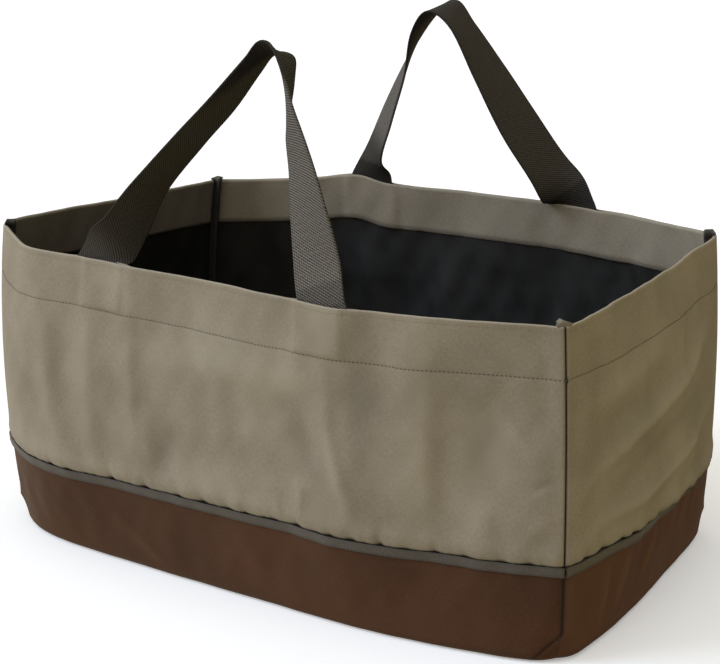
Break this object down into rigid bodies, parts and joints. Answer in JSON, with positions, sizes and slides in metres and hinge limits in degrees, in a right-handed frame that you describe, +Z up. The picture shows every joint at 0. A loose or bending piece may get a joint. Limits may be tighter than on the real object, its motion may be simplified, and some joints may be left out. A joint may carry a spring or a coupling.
{
  "type": "log carrier",
  "caption": "Open rectangular cloth log carrier: tan walls on a brown tray, faced rim, ribbed seam tape, bound corners and upright webbing handles, for carrying firewood.",
  "frame": {"origin": "on the floor under the middle of the tray", "axes": "+X along the length, to the right as seen from the front; +Y from the front wall to the back wall; +Z up"},
  "size_m": [0.6151, 0.4258, 0.4711],
  "materials": {
    "tan_cloth": "plain-woven coated polyester, matt outside with a black coating inside",
    "brown_cloth": "plain-woven coated polyester, slightly satin",
    "grey_tape": "ribbed grosgrain tape",
    "black_tape": "folded binding tape, matt",
    "dark_webbing": "heavy flat webbing with a close rib"
  },
  "bodies": {
    "root": {"base_tray": "brown_cloth", "front_panel": "tan_cloth", "right_panel": "tan_cloth", "back_panel": "tan_cloth", "left_panel": "tan_cloth", "front_facing": "tan_cloth", "right_facing": "tan_cloth", "back_facing": "tan_cloth", "left_facing": "tan_cloth", "front_seam_tape": "grey_tape", "right_seam_tape": "grey_tape", "back_seam_tape": "grey_tape", "left_seam_tape": "grey_tape", "front_left_corner_tape": "black_tape", "front_right_corner_tape": "black_tape", "back_right_corner_tape": "black_tape", "back_left_corner_tape": "black_tape", "front_handle": "dark_webbing", "back_handle": "dark_webbing"}
  },
  "joints": []
}
